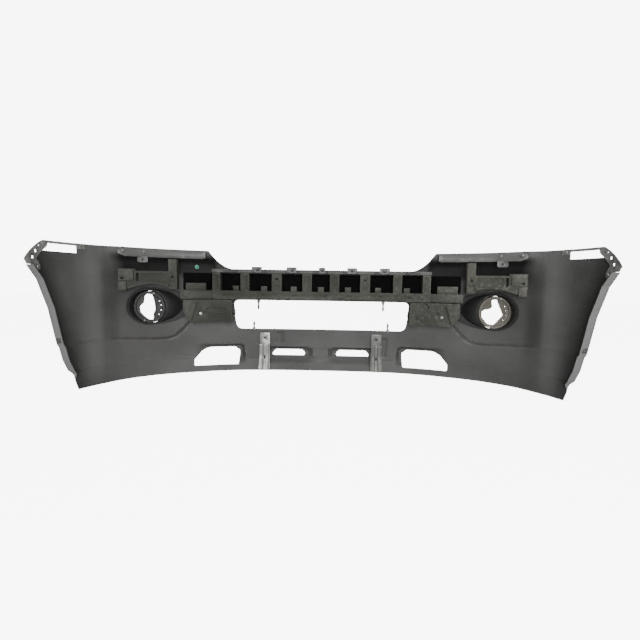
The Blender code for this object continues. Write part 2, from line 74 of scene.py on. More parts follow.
floor_links.new(floor_glow.outputs[0], floor_gate.inputs[2])
floor_links.new(floor_shader.outputs[0], floor_sum.inputs[0])
floor_links.new(floor_gate.outputs[0], floor_sum.inputs[1])
floor_links.new(floor_sum.outputs[0], floor_paint.node_tree.nodes["Material Output"].inputs["Surface"])
floor_data.materials.append(floor_paint)
floor.location.z = -0.001

world = bpy.data.worlds.new("studio")
world.use_nodes = True
ambient = world.node_tree.nodes["Background"]
ambient.inputs["Color"].default_value = (1.0, 1.0, 1.0, 1)
ambient.inputs["Strength"].default_value = AMBIENT
backdrop = world.node_tree.nodes.new("ShaderNodeBackground")
backdrop.inputs["Color"].default_value = (1.0, 1.0, 1.0, 1)
backdrop.inputs["Strength"].default_value = SURROUNDINGS
seen = world.node_tree.nodes.new("ShaderNodeLightPath")
either = world.node_tree.nodes.new("ShaderNodeMixShader")
world_links = world.node_tree.links
world_links.new(seen.outputs["Is Camera Ray"], either.inputs[0])
world_links.new(ambient.outputs[0], either.inputs[1])
world_links.new(backdrop.outputs[0], either.inputs[2])
world_links.new(either.outputs[0], world.node_tree.nodes["World Output"].inputs["Surface"])
bpy.context.scene.world = world


def softbox(name, place, aim, size, power):
    """A square soft light aimed at a point."""
    data = bpy.data.lights.new(name, "AREA")
    data.shape = "SQUARE"
    data.size = size
    data.energy = power
    lamp = bpy.data.objects.new(name, data)
    bpy.context.scene.collection.objects.link(lamp)
    lamp.location = place
    lamp.rotation_euler = (Vector(aim) - Vector(place)).to_track_quat("-Z", "Y").to_euler()


softbox("top_light", (0.2, -0.9, 2.6), (0.0, 0.1, 0.2), 2.2, 20)
softbox("back_light", (0.3, -3.4, 1.0), (0.0, 0.2, 0.3), 2.0, 135)

camera_data = bpy.data.cameras.new("viewer")
camera_data.lens = LENS
camera_data.sensor_width = SENSOR
camera = bpy.data.objects.new("viewer", camera_data)
bpy.context.scene.collection.objects.link(camera)
camera.location = VIEW_FROM
camera.rotation_euler = (math.pi / 2 - VIEW_TILT, -VIEW_ROLL, -VIEW_YAW)
bpy.context.scene.camera = camera

# ------------------------------------------------------------------ cover skin
# The outer cover: one large thermoplastic moulding 3 mm thick, satin and unpainted inside.
# It wraps round the nose and back along both wings, and turns in as a flange at the wheel arches.
HALF_WIDTH, DEPTH, HEIGHT, CENTRE_TOP = 1.0, 0.653, 0.578, 0.495
WALL = 0.003
PLAN_POWER = 2.9
MIDDLE_Y = DEPTH / 2
RELIEF, LIP_SLOPE, CROWN, FLANGE = 0.020, 0.35, 0.030, 0.030
COLUMNS, FLANGE_COLUMNS, ROWS = 160, 6, 112
SIDES = {"left": -1, "right": 1}


def ramp(value, start, end):
    """0 before start, 1 past end, smooth between."""
    t = min(1.0, max(0.0, (value - start) / (end - start)))
    return t * t * (3 - 2 * t)


def place(x, back, z):
    """A point from its distance off the middle, its set-back from the nose and its height."""
    return Vector((x, MIDDLE_Y - back, z))


def plan(theta):
    """Plan outline as a squared-off ellipse: distance off the middle and set-back."""
    across = HALF_WIDTH * math.sin(theta) ** (2 / PLAN_POWER)
    return across, RELIEF + (DEPTH - RELIEF) * (1 - math.cos(theta))


def theta_of_back(back):
    return math.acos(min(1.0, max(0.0, (DEPTH - back) / (DEPTH - RELIEF))))


def theta_of(x):
    return math.asin(min(1.0, (abs(x) / HALF_WIDTH) ** (PLAN_POWER / 2)))


def outward(theta):
    """Unit normal of the plan outline, as x and set-back parts."""
    if theta < 1e-4:
        return 0.0, -1.0
    across = 2 / PLAN_POWER * math.sin(theta) ** (2 / PLAN_POWER - 1) * math.cos(theta)
    back = (DEPTH - RELIEF) * math.sin(theta)
    length = math.hypot(across, back)
    return back / length, -across / length


def top_edge(x):
    """Height of the top edge: low behind the grille, then a concave sweep up to the wings."""
    return CENTRE_TOP + (HEIGHT - CENTRE_TOP) * min(1.0, max(0.0, (abs(x) - 0.42) / 0.12)) ** 2


def step_line(x):
    """Height of the line below which the cover steps back."""
    return 0.185 - 0.020 * ramp(x, 0.96, 0.72) + 0.110 * ramp(x, 0.75, 0.58) ** 2


def rounded_box(x, z, centre, half, corner):
    """Distance from a rounded rectangle, negative inside it."""
    dx, dz = abs(x - centre[0]) - half[0] + corner, abs(z - centre[1]) - half[1] + corner
    return math.hypot(max(dx, 0), max(dz, 0)) + min(max(dx, dz), 0) - corner


DUCTS = [((0.503, 0.074), (0.128, 0.055), 0.028, 0.53), ((0.158, 0.073), (0.106, 0.043), 0.024, 9.0)]
DUCT_DEPTH = 0.024
PADS = [((-0.205, 0.160), (0.014, 0.030)), ((0.314, 0.118), (0.011, 0.050))]


def relief(x, z):
    """How far the outer face stands off the plan outline, positive ahead of it."""
    pad = sum(0.005 * ramp(-rounded_box(x, z, centre, half, 0.008), -0.002, 0.004)
              for centre, half in PADS)
    x = abs(x)
    line = step_line(x)
    step = ramp(z, line - 0.006, line + 0.006)
    raised = step * (1 - ramp(z, 0.515, 0.56))
    inner = 1 - ramp(x, 0.860, 0.915)
    crease = 0.050 + 0.0265 * ramp(x, 0.30, 0.85)
    lip = max(0.0, crease - z) * LIP_SLOPE * (1 - 0.75 * ramp(x, 0.55, 0.90))
    crown = CROWN * ramp(z, 0.44, HEIGHT) ** 1.5
    wing_step = 0.0055 * (1 - step) * (1 - inner)
    fold = 0.003 * (1 - ramp(z, crease - 0.004, crease + 0.003)) * ramp(x, 0.40, 0.62)
    duct = 0.0
    for centre, half, corner, fade in DUCTS:
        deep = DUCT_DEPTH * ramp(z, 0.030, 0.085) * (1 - ramp(x, fade - 0.02, fade + 0.07))
        duct = max(duct, deep * ramp(-rounded_box(x, z, centre, half, corner), -0.003, 0.009))
    return RELIEF * raised * inner - wing_step - lip - fold - crown * inner + duct + pad


def on_cover(theta, z, behind=0.0, side=1):
    """A point on the outer face, or that far behind it; x is returned unsigned."""
    x, back = plan(theta)
    nx, nb = outward(theta)
    off = relief(side * x, z) - behind
    return x + nx * off, back + nb * off


def behind_cover(x, z, behind):
    """The point at x and z that lies the given distance behind the outer face."""
    side = -1 if x < 0 else 1
    aim = abs(x)
    for _ in range(4):
        reached, back = on_cover(theta_of(aim), z, behind, side)
        aim = max(0.0, aim + abs(x) - reached)
    return place(side * reached, back, z)


def facing(x):
    """Turn about Z that points +Y squarely out of the cover at x."""
    nx, nb = outward(theta_of(x))
    return math.atan2(math.copysign(nx, -x), -nb)


ARCH = ((0.0, 0.452), (0.064, 0.470), (0.083, 0.488), (0.127, 0.508), (0.207, 0.528),
        (0.331, 0.555), (0.4375, 0.597), (0.505, 0.653))
TIP_Z, TIP_START = 0.505, 0.566


def tip_back(z):
    """Set-back of the slanting end of a wing, between its tip and its top edge."""
    part = min(1.0, (z - TIP_Z) / (HEIGHT - TIP_Z))
    return TIP_START + (DEPTH - TIP_START) * (1 - part ** 1.2) ** (1 / 1.2)


def arch_back(z):
    """Set-back of the wheel-arch edge at a height, from the corner up to the tip of the wing."""
    if z > TIP_Z:
        return tip_back(z)
    for (low, near), (high, far) in zip(ARCH, ARCH[1:]):
        if z <= high:
            return near + (far - near) * (z - low) / (high - low)


def cover_point(u, v):
    """Grid position on the outer face; the outermost columns turn in as the arch flange."""
    column = (2 * u - 1) * (COLUMNS + FLANGE_COLUMNS)
    side = -1 if column < 0 else 1
    column = abs(column)
    edge = theta_of_back(arch_back(v * HEIGHT))
    theta = edge * min(column, COLUMNS) / COLUMNS
    z = v * top_edge(plan(theta)[0])
    x, back = on_cover(theta, z, side=side)
    past = max(0.0, column - COLUMNS) / FLANGE_COLUMNS
    x -= FLANGE * past * ramp(z, 0.03, 0.09)
    back += 0.004 * math.sin(math.pi / 2 * min(1.0, past * 2))
    return place(side * x, back, z)


def join(solids):
    """Puts several closed solids into one mesh."""
    both = bmesh.new()
    for solid in solids:
        mesh = bpy.data.meshes.new("scratch")
        solid.to_mesh(mesh)
        solid.free()
        both.from_mesh(mesh)
        bpy.data.meshes.remove(mesh)
    return both


def prism(outline, along, start, end):
    """An outline of two coordinates, extruded along Y or X between two places."""
    solid = bmesh.new()
    turn = {"Y": lambda a, b, c: Vector((a, c, b)), "X": lambda a, b, c: Vector((c, a, b))}[along]
    face = solid.faces.new([solid.verts.new(turn(a, b, start)) for a, b in outline])
    moved = bmesh.ops.extrude_face_region(solid, geom=[face])["geom"]
    bmesh.ops.translate(solid, vec=turn(0, 0, end - start),
                        verts=[g for g in moved if isinstance(g, bmesh.types.BMVert)])
    bmesh.ops.recalc_face_normals(solid, faces=solid.faces)
    return solid


def model(name, mesh_data, sharp=35):
    """An object from mesh code, smooth up to the given angle."""
    mesh = bpy.data.meshes.new(name)
    mesh_data.to_mesh(mesh)
    mesh_data.free()
    mesh.shade_smooth()
    mesh.set_sharp_from_angle(angle=math.radians(sharp))
    made = bpy.data.objects.new(name, mesh)
    bpy.context.scene.collection.objects.link(made)
    return made


def settle(made, sharp=35):
    """Applies an object's modifiers to its mesh and puts its place into the mesh."""
    bpy.context.view_layer.update()
    evaluated = made.evaluated_get(bpy.context.evaluated_depsgraph_get())
    mesh = bpy.data.meshes.new_from_object(evaluated)
    mesh.transform(made.matrix_world)
    made.modifiers.clear()
    made.matrix_world = Matrix.Identity(4)
    made.data = mesh
    mesh.shade_smooth()
    mesh.set_sharp_from_angle(angle=math.radians(sharp))
    return made


def boolean(made, solid, operation="DIFFERENCE"):
    """Cuts a closed solid out of an object, or adds it, at once."""
    tool = model("tool", solid)
    step = made.modifiers.new("step", "BOOLEAN")
    step.operation = operation
    step.object = tool
    step.solver = "EXACT"
    settle(made)
    bpy.data.objects.remove(tool, do_unlink=True)


def taken(made):
    """The mesh of a scratch object, which is removed."""
    mesh_data = bmesh.new()
    mesh_data.from_mesh(made.data)
    bpy.data.objects.remove(made, do_unlink=True)
    return mesh_data


def bevel(made, width, segments=2, angle=40):
    """Rounds the sharp edges of a finished piece."""
    step = made.modifiers.new("rounding", "BEVEL")
    step.width = width
    step.segments = segments
    step.limit_method = "ANGLE"
    step.angle_limit = math.radians(angle)
    step.harden_normals = False
    settle(made)


def show(made, look, slot_name, *nodes):
    """Gives a piece its finish, hangs it on the root body and hides the frame's parts that it stands for."""
    made.data.materials.clear()
    made.data.materials.append(look)
    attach(made, "root")
    if nodes:
        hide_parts(*nodes)
    return made


def arc(centre_a, centre_b, radius, start, end, steps):
    """Points of a circle arc, angles in degrees."""
    angles = [math.radians(start + (end - start) * i / steps) for i in range(steps + 1)]
    return [(centre_a + radius * math.cos(t), centre_b + radius * math.sin(t)) for t in angles]


def rounded(outline, radius, steps=4):
    """The outline with its corners rounded by quadratic curves."""
    result = []
    for before, corner, after in zip(outline[-1:] + outline, outline, outline[1:] + outline[:1]):
        corner = Vector(corner)
        to_before, to_after = Vector(before) - corner, Vector(after) - corner
        cut_before = corner + to_before * min(0.45, radius / to_before.length)
        cut_after = corner + to_after * min(0.45, radius / to_after.length)
        for step in range(steps + 1):
            t = step / steps
            result.append(tuple(cut_before.lerp(corner, t).lerp(corner.lerp(cut_after, t), t)))
    return result


# The grain of a moulded plastic face, the dust that lies on it and the wear of its edges are
# the same effects on every plastic piece, so each is one group of nodes.
def group(name, inputs, outputs):
    """An empty shader group with number inputs and outputs, and its two end nodes."""
    tree = bpy.data.node_groups.new(name, "ShaderNodeTree")
    for label, value in inputs:
        tree.interface.new_socket(label, in_out="INPUT", socket_type="NodeSocketFloat").default_value = value
    for label in outputs:
        tree.interface.new_socket(label, in_out="OUTPUT", socket_type="NodeSocketFloat")
    return tree, tree.nodes.new("NodeGroupInput"), tree.nodes.new("NodeGroupOutput")


def noise(tree, scale, detail, stretch=(1, 1, 1)):
    """Noise on object coordinates; returns its factor socket."""
    where = tree.nodes.new("ShaderNodeTexCoord")
    mapping = tree.nodes.new("ShaderNodeMapping")
    mapping.inputs["Scale"].default_value = stretch
    pattern = tree.nodes.new("ShaderNodeTexNoise")
    pattern.inputs["Scale"].default_value = scale
    pattern.inputs["Detail"].default_value = detail
    tree.links.new(where.outputs["Object"], mapping.inputs["Vector"])
    tree.links.new(mapping.outputs["Vector"], pattern.inputs["Vector"])
    return pattern.outputs["Fac"]


def spread(tree, value, low, high, out_low=0.0, out_high=1.0):
    """Maps a value from one range to another, clamped."""
    node = tree.nodes.new("ShaderNodeMapRange")
    node.inputs["From Min"].default_value = low
    node.inputs["From Max"].default_value = high
    node.inputs["To Min"].default_value = out_low
    node.inputs["To Max"].default_value = out_high
    tree.links.new(value, node.inputs["Value"])
    return node.outputs["Result"]


def maths(tree, operation, first, second):
    node = tree.nodes.new("ShaderNodeMath")
    node.operation = operation
    for socket, value in zip(node.inputs, (first, second)):
        if isinstance(value, (int, float)):
            socket.default_value = value
        else:
            tree.links.new(value, socket)
    return node.outputs[0]


dust_group, dust_in, dust_out = group("settled_dust", [("Amount", 0.5)], ["Mask"])
cloud = spread(dust_group, noise(dust_group, 5.0, 6.0), 0.42, 0.68)
speck = spread(dust_group, noise(dust_group, 70.0, 4.0), 0.52, 0.72)
fine = spread(dust_group, noise(dust_group, 260.0, 2.0), 0.45, 0.75, 0.4, 1.0)
lying = dust_group.nodes.new("ShaderNodeNewGeometry")
upward = dust_group.nodes.new("ShaderNodeSeparateXYZ")
dust_group.links.new(lying.outputs["Normal"], upward.inputs["Vector"])
flat = spread(dust_group, upward.outputs["Z"], -0.25, 0.9, 0.25, 1.4)
film = maths(dust_group, "ADD", maths(dust_group, "MULTIPLY", cloud, 0.55),
             maths(dust_group, "MULTIPLY", speck, 0.65))
film = maths(dust_group, "MULTIPLY", maths(dust_group, "MULTIPLY", film, fine), flat)
film = maths(dust_group, "MULTIPLY", film, dust_in.outputs["Amount"])
dust_group.links.new(maths(dust_group, "MINIMUM", film, 1.0), dust_out.inputs["Mask"])

wear_group, wear_in, wear_out = group("edge_wear", [("Amount", 0.5)], ["Mask"])
shape = wear_group.nodes.new("ShaderNodeNewGeometry")
edges = spread(wear_group, shape.outputs["Pointiness"], 0.515, 0.56)
patchy = spread(wear_group, noise(wear_group, 45.0, 5.0), 0.35, 0.65, 0.25, 1.0)
worn = maths(wear_group, "MULTIPLY", maths(wear_group, "MULTIPLY", edges, patchy),
             wear_in.outputs["Amount"])
wear_group.links.new(worn, wear_out.inputs["Mask"])

grain_group, grain_in, grain_out = group("moulded_grain", [("Strength", 1.0)], ["Height"])
fine_grain = noise(grain_group, 1400.0, 2.0)
flow = noise(grain_group, 24.0, 3.0, (1, 1, 2.5))
mixed_grain = maths(grain_group, "ADD", fine_grain, maths(grain_group, "MULTIPLY", flow, 1.5))
grain_group.links.new(maths(grain_group, "MULTIPLY", mixed_grain, grain_in.outputs["Strength"]),
                      grain_out.inputs["Height"])


def blend_colour(tree, factor, first, second):
    """Mixes two colours, each a socket or a plain value, by a factor socket."""
    node = tree.nodes.new("ShaderNodeMix")
    node.data_type = "RGBA"
    tree.links.new(factor, node.inputs["Factor"])
    for socket, value in ((node.inputs[6], first), (node.inputs[7], second)):
        if isinstance(value, tuple):
            socket.default_value = (*value, 1)
        else:
            tree.links.new(value, socket)
    return node.outputs[2]


def placed(tree, node_group, **values):
    """One use of a shader group, with its own values."""
    node = tree.nodes.new("ShaderNodeGroup")
    node.node_tree = node_group
    for label, value in values.items():
        node.inputs[label].default_value = value
    return node.outputs[0]


ARCH_LEAN = 0.34          # mean run back of the wheel-arch edge for each metre of height
# Painted light: a lighter colour for the back-facing flange faces, standing in for the light that falls on
# them.
FLANGE_PAINTED_LIGHT = (0.17, 0.17, 0.168)


def parts_of(tree, kind):
    """X, Y and Z of the piece's own Object coordinates, or of its Normal."""
    where = tree.nodes.new("ShaderNodeTexCoord")
    parts = tree.nodes.new("ShaderNodeSeparateXYZ")
    tree.links.new(where.outputs[kind], parts.inputs["Vector"])
    return parts.outputs


def flange_painted_light(tree):
    """Mask of painted light on the wheel-arch flange, whose faces look straight back towards the lamp behind
    the viewer.

    It also takes in, more weakly, the curved inner wall of the wings where that looks back.
    """
    across = maths(tree, "ABSOLUTE", parts_of(tree, "Object")["X"], 0.0)
    return maths(tree, "MULTIPLY", spread(tree, parts_of(tree, "Normal")["Y"], -0.35, -0.75),
                 spread(tree, across, 0.90, 0.93))


def in_shade(tree):
    """Mask of the bay under the sills and of the fold beside the wheel arch.

    It stands in for deep shade. It goes by place, so the outer face is darkened there too.
    """
    parts = parts_of(tree, "Object")
    across = maths(tree, "ABSOLUTE", parts["X"], 0.0)
    inside = maths(tree, "MULTIPLY", spread(tree, across, 0.500, 0.515), spread(tree, across, 0.890, 0.855))
    level = maths(tree, "MULTIPLY", spread(tree, parts["Z"], 0.440, 0.475),
                  spread(tree, parts["Z"], 0.556, 0.538))
    rise = maths(tree, "MULTIPLY", parts["Z"], ARCH_LEAN)
    reach = maths(tree, "SUBTRACT", maths(tree, "SUBTRACT", MIDDLE_Y, parts["Y"]), rise)
    fold = spread(tree, reach, 0.345, 0.425, 0.0, 0.62)
    return maths(tree, "MAXIMUM", maths(tree, "MULTIPLY", inside, level), fold)


def plastic(name, colour, dust_colour, dust=0.5, wear=0.5, roughness=0.55, metallic=0.0, grain=0.15,
            right_side=0.0, gloss=0.5, shade=None):
    """A moulded or pressed finish: blotchy base colour, settled dust, worn edges, fine grain.

    A shade colour is given for the cover only: it darkens the places that in_shade picks out, as painted
    shade, and the flange faces that look back are then lightened, as painted light.
    """
    look = bpy.data.materials.new(name)
    look.use_nodes = True
    tree = look.node_tree
    shader = tree.nodes["Principled BSDF"]
    shader.inputs["Metallic"].default_value = metallic
    shader.inputs["Specular IOR Level"].default_value = gloss
    darker = tuple(c * 0.80 for c in colour)
    lighter = tuple(c * 1.22 for c in colour)
    base = blend_colour(tree, spread(tree, noise(tree, 3.0, 6.0, (1, 1, 1.6)), 0.35, 0.65), darker, lighter)
    if shade:
        base = blend_colour(tree, in_shade(tree), base, shade)
        # Painted light: the back-facing flange faces are lightened as if lit.
        base = blend_colour(tree, flange_painted_light(tree), base, FLANGE_PAINTED_LIGHT)
    worn_edges = placed(tree, wear_group, Amount=wear)
    base = blend_colour(tree, worn_edges, base, tuple(min(1.0, c * 2.6 + 0.05) for c in colour))
    dusty = placed(tree, dust_group, Amount=dust)
    if right_side:
        across = parts_of(tree, "Object")["X"]
        dusty = maths(tree, "MULTIPLY", dusty,
                      spread(tree, across, -0.6, 0.6, 1.0 - right_side, 1.0 + right_side))
    tree.links.new(blend_colour(tree, dusty, base, dust_colour), shader.inputs["Base Color"])
    rough = maths(tree, "ADD", spread(tree, noise(tree, 9.0, 5.0), 0.3, 0.7, roughness - 0.07,
                                      roughness + 0.07), maths(tree, "MULTIPLY", dusty, 0.3))
    tree.links.new(rough, shader.inputs["Roughness"])
    bump = tree.nodes.new("ShaderNodeBump")
    bump.inputs["Strength"].default_value = grain
    bump.inputs["Distance"].default_value = 0.0006
    tree.links.new(placed(tree, grain_group, Strength=1.0), bump.inputs["Height"])
    tree.links.new(bump.outputs["Normal"], shader.inputs["Normal"])
    return look


DUST = (0.30, 0.285, 0.25)
skin_look = plastic("satin_grey_moulding", (0.062, 0.062, 0.060), DUST, dust=0.08, wear=0.25,
                    roughness=0.52, gloss=0.32, shade=(0.008, 0.008, 0.008))

OPEN_LOW, OPEN_HIGH, OPEN_HALF_TOP, OPEN_HALF_LOW = 0.205, 0.345, 0.432, 0.410
CENTRE_OPENING = rounded([(-OPEN_HALF_TOP, OPEN_HIGH), (-OPEN_HALF_LOW, OPEN_LOW),
                          (OPEN_HALF_LOW, OPEN_LOW), (OPEN_HALF_TOP, OPEN_HIGH)], 0.030, 6)
OUTER_OPENING = rounded([(0.403, 0.029), (0.602, 0.029), (0.605, 0.058), (0.574, 0.098),
                         (0.548, 0.112), (0.424, 0.112), (0.412, 0.100), (0.403, 0.097)], 0.006)
INNER_OPENING = rounded([(0.080, 0.0705), (0.240, 0.0705), (0.241, 0.082), (0.224, 0.100),
                         (0.094, 0.100), (0.078, 0.086)], 0.007)
SLOT = [(0.430, 0.540), (0.575, 0.540), (0.598, 0.522), (0.618, 0.487), (0.700, 0.487),
        (0.700, 0.640), (0.430, 0.640)]
FOG_X, FOG_Z, FOG_BACK = 0.782, 0.315, 0.190
FOG_RADIUS, FOG_BORE = 0.0755, 0.061
RIM_OUT, RIM_IN, RIM_HIGH = 0.074, 0.170, 0.086


def fog_rim(angle, shrink=0.0):
    """Outline of the fog lamp housing: round outside, drawn out towards the middle."""
    reach = RIM_OUT if math.cos(angle) > 0 else RIM_IN
    x = FOG_X + (reach - shrink) * math.cos(angle)
    return x, FOG_Z + 0.004 + (RIM_HIGH - shrink) * math.sin(angle)


skin_grid = bmesh.new()
bmesh.ops.create_grid(skin_grid, x_segments=2 * (COLUMNS + FLANGE_COLUMNS), y_segments=ROWS, size=0.5)
for vert in skin_grid.verts:
    vert.co = cover_point(vert.co.x + 0.5, vert.co.y + 0.5)
skin = model("cover_skin_moulding", skin_grid)
wall = skin.modifiers.new("wall", "SOLIDIFY")
wall.thickness = WALL
wall.offset = 1
wall.use_even_offset = True
settle(skin)
AHEAD, BEHIND = MIDDLE_Y + 0.05, MIDDLE_Y - 0.34
rim = [fog_rim(math.tau * i / 72, 0.004) for i in range(72)]
cuts = [prism(CENTRE_OPENING, "Y", BEHIND, AHEAD)]
for outline in (OUTER_OPENING, INNER_OPENING, rim):
    for side in (-1, 1):
        cuts.append(prism([(side * a, b) for a, b in outline], "Y", BEHIND, AHEAD))
for side in (-1, 1):
    cuts.append(prism([(MIDDLE_Y - back, z) for back, z in SLOT], "X", side * 0.90, side * 1.04))
boolean(skin, join(cuts))
show(skin, skin_look, "skin_plastic", "cover_skin")

# ------------------------------------------------------------------ absorber comb
# The middle carrier behind the grille: an injection moulding with eight posts on a lower rail.
# A rail caps the posts, and a near-black block fills the space between the posts and the cover: painted
# shade, standing in for the deep shade in the pockets between the posts.
CARRIER_BACK, CARRIER_SWEEP, CARRIER_BEND = 0.125, 0.47, 0.515
POSTS = ((0.064, 0.044), (0.206, 0.046), (0.356, 0.040), (0.490, 0.036))
RAIL_LOW, RAIL_HIGH, POST_TOP = 0.353, 0.393, 0.477


def carrier_back(x):
    """Set-back of the rear faces of the moulded carriers."""
    return CARRIER_BACK + CARRIER_SWEEP * max(0.0, abs(x) - CARRIER_BEND)


def rectangle(x0, x1, z0, z1):
    return [(x0, z0), (x1, z0), (x1, z1), (x0, z1)]


def block(x0, x1, back, front, z0, z1):
    """A box between two places across, two set-backs and two heights."""
    return prism(rectangle(x0, x1, z0, z1), "Y", MIDDLE_Y - back, MIDDLE_Y - front)


def swept(outline, depth, behind=0.0):
    """An outline in x and z, extruded forward from the swept rear face of the carriers."""
    solid = prism(outline, "Y", 0, depth)
    for bend in (-CARRIER_BEND, CARRIER_BEND):
        bmesh.ops.bisect_plane(solid, geom=solid.verts[:] + solid.edges[:] + solid.faces[:], dist=1e-6,
                               plane_co=(bend, 0, 0), plane_no=(1, 0, 0))
    for vert in solid.verts:
        vert.co.y += MIDDLE_Y - carrier_back(vert.co.x) - behind
    bmesh.ops.recalc_face_normals(solid, faces=solid.faces)
    return solid


def bore(point, radius, length=0.04, turn=0.0, sides=28):
    """A round cutter centred on a point, lying ahead and turned about the vertical."""
    hole = bmesh.new()
    bmesh.ops.create_cone(hole, cap_ends=True, segments=sides, radius1=radius, radius2=radius, depth=length)
    bmesh.ops.rotate(hole, verts=hole.verts, matrix=Matrix.Rotation(math.pi / 2, 3, "X"))
    bmesh.ops.rotate(hole, verts=hole.verts, matrix=Matrix.Rotation(turn, 3, "Z"))
    bmesh.ops.translate(hole, verts=hole.verts, vec=point)
    return hole


carrier_look = plastic("carrier_moulding", (0.028, 0.030, 0.023), DUST, dust=0.36, wear=0.35,
                       roughness=0.65, right_side=1.7, gloss=0.3)
comb = model("absorber_comb", block(-0.508, 0.508, CARRIER_BACK, 0.085, RAIL_LOW, POST_TOP))
posts = [(-x, width) for x, width in reversed(POSTS)] + list(POSTS)
gaps = [(left + left_width / 2, right - right_width / 2)
        for (left, left_width), (right, right_width) in zip(posts, posts[1:])]
windows, seats = [], []
for low, high in gaps:
    windows.append(block(low, high, 0.20, 0.0, RAIL_HIGH, 0.50))
    middle = (low + high) / 2 - 0.05 * (low + high) / 2
    seats.append(block(middle - 0.014, middle + 0.014, 0.104, 0.087, RAIL_HIGH - 0.002, 0.416))
boolean(comb, join(windows))
boolean(comb, join(seats), "UNION")
for side in (-1, 1):
    boolean(comb, swept(rectangle(side * 0.500, side * 0.640, RAIL_LOW + 0.001, RAIL_HIGH - 0.001),
                        0.030, -0.004), "UNION")
boolean(comb, join([swept(rectangle(side * 0.540, side * 0.622, RAIL_HIGH - 0.003, 0.427), 0.010, -0.016)
                    for side in (-1, 1)]), "UNION")
marks = []
for x, width in posts:
    if abs(x) == POSTS[1][0]:
        marks.append(bore(place(x, CARRIER_BACK, 0.449), 0.0058, 0.05))
        marks.append(block(x - 0.013, x + 0.013, 0.14, 0.1235, 0.4015, 0.420))
    else:
        marks.append(block(x - width / 2 + 0.008, x + width / 2 - 0.008, 0.14, 0.1238, 0.404, 0.466))
for x in (-0.455, -0.272, -0.13, 0.02, 0.128, 0.281, 0.41):
    marks.append(bore(place(x, CARRIER_BACK, 0.374), 0.0042, 0.016))
marks.append(block(-0.30, -0.145, 0.14, 0.1228, RAIL_LOW - 0.01, 0.3585))
marks.append(block(0.05, 0.38, 0.14, 0.1228, RAIL_LOW - 0.01, 0.3580))
boolean(comb, join(marks))
bevel(comb, 0.0016, 2)
show(comb, carrier_look, "carrier_plastic", "absorber_centre")

grille_rail = model("grille_rail_moulding", block(-0.512, 0.512, 0.123, 0.092, 0.478, 0.494))
notches = []
for low, high in gaps:
    middle = (low + high) / 2
    notches.append(block(middle - 0.034, middle + 0.034, 0.13, 0.1195, 0.470, 0.4885))
    notches.append(block(middle - 0.010, middle + 0.010, 0.13, 0.105, 0.4905, 0.50))
boolean(grille_rail, join(notches))
bevel(grille_rail, 0.0012, 2)
rail_look = plastic("rail_moulding", (0.050, 0.050, 0.047), DUST, dust=0.2, wear=0.4, roughness=0.55,
                    right_side=0.6)
show(grille_rail, rail_look, "skin_plastic", "grille_rail")

# Painted shade: a near-black block behind the posts and a pad near each end of the carrier stand in for the
# deep shade in those pockets.
pocket_shade_look = plastic("painted_shade_black", (0.0025, 0.0025, 0.0025), (0.02, 0.02, 0.018), dust=0.1, wear=0.05,
                    roughness=0.9, grain=0.6, gloss=0.05)
core = model("pocket_shade_block", block(-0.500, 0.500, 0.084, 0.060, 0.360, 0.474))
bevel(core, 0.006, 3)
show(core, pocket_shade_look, "foam_black", "foam_core")
for name, side in SIDES.items():
    pad = model("pocket_shade_pad_" + name, swept(rectangle(side * 0.520, side * 0.640, 0.396, 0.474), 0.018,
                                          -0.040))
    bevel(pad, 0.004, 3)
    show(pad, pocket_shade_look, "foam_black", "foam_end_" + name)

# ------------------------------------------------------------------ end carriers
# One moulding on each side, with holes for its screws: a tall post, a recessed plate whose lower
# edge clears the lamp housing in an arch, and a raised block with a hanging leg at its end.
ARCH_LOW, BEAM_HIGH = 0.3985, 0.0085
for name, side in SIDES.items():
    arch = [(0.650 + 0.200 * i / 12, ARCH_LOW + 0.022 * math.sin(math.pi * min(1.0, i / 11)))
            for i in range(13)]
    plate = arch + [(0.868, 0.388), (0.868, 0.486), (0.806, 0.486), (0.806, 0.478), (0.650, 0.478)]
    plate = [(side * x, z) for x, z in plate]
    carrier = model("end_carrier_" + name, swept(plate, 0.006))
    post = swept(rectangle(side * 0.650, side * 0.682, ARCH_LOW, 0.532), 0.024, 0.003)
    boolean(carrier, post, "UNION")
    raised = [rectangle(side * 0.812, side * 0.864, 0.436, 0.483),
              rectangle(side * 0.838, side * 0.866, 0.391, 0.430)]
    for outline in raised:
        boolean(carrier, swept(outline, 0.010, 0.006), "UNION")
    beam = [(side * x, z) for x, z in arch[2:12]]
    beam += [(x, z + BEAM_HIGH) for x, z in reversed(beam)]
    boolean(carrier, swept(beam, 0.006, 0.004), "UNION")
    cuts = [bore(place(side * 0.666, carrier_back(0.666), 0.452), 0.0060, 0.016, sides=24),
            swept(rectangle(side * 0.794, side * 0.803, 0.432, 0.468), 0.03, 0.01),
            swept(rectangle(side * 0.693, side * 0.786, 0.434, 0.466), 0.0028, 0.0005),
            bore(place(side * 0.852, carrier_back(0.852), 0.444), 0.0045, 0.05, sides=24),
            swept(rectangle(side * 0.656, side * 0.680, 0.410, 0.438), 0.0018, 0.0035)]
    for cut in cuts:
        boolean(carrier, cut)
    bevel(carrier, 0.0013, 2)
    show(carrier, carrier_look, "carrier_plastic", "absorber_end_" + name)

